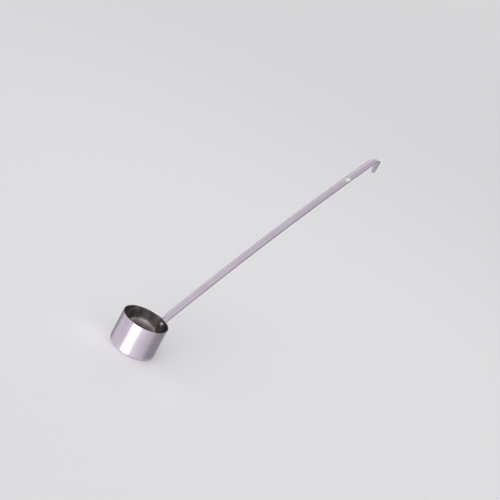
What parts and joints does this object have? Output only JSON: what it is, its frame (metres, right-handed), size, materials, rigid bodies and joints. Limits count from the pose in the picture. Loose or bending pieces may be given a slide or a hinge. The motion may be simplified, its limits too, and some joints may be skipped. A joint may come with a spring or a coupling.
{
  "type": "water dipper",
  "caption": "Long-handled water dipper: a straight-sided metal cup riveted to a long pressed strip handle with a hanging hole and a hooked end.",
  "frame": {"origin": "centre of the cup's flat bottom", "axes": "+Z along the cup's axis, out of its mouth; +X from the cup towards the handle; the handle lies in the XZ plane"},
  "size_m": [0.3959, 0.08, 0.4188],
  "materials": {
    "cup_steel": "polished stainless steel",
    "handle_steel": "satin stainless steel",
    "rivet_steel": "polished stainless steel"
  },
  "bodies": {
    "root": {"cup": "cup_steel", "handle": "handle_steel", "rivet": "rivet_steel"}
  },
  "joints": []
}
